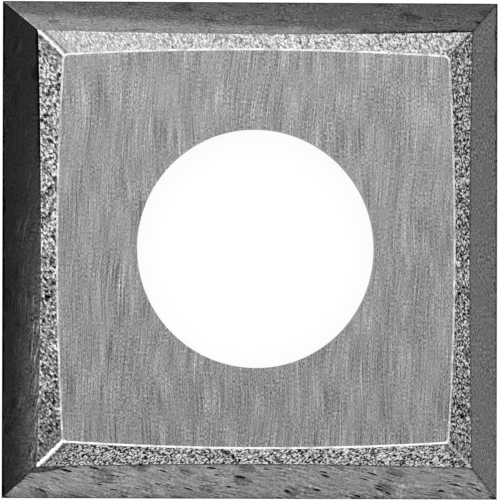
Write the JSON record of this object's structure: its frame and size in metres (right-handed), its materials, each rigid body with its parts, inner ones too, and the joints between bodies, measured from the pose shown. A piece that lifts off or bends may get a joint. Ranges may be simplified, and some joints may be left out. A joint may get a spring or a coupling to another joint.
{
  "type": "reversible carbide blade",
  "caption": "Square reversible carbide blade with ground relief flanks, pressed bevels round a flat seat face and a countersunk screw hole in the middle.",
  "frame": {"origin": "centre of the wide face, on the axis of the screw hole", "axes": "+Z from the wide face to the seat face, +X and +Y square to the cutting edges"},
  "size_m": [0.014, 0.014, 0.002],
  "materials": {
    "carbide": "ground"
  },
  "bodies": {
    "root": {"blade": "carbide"}
  },
  "joints": []
}
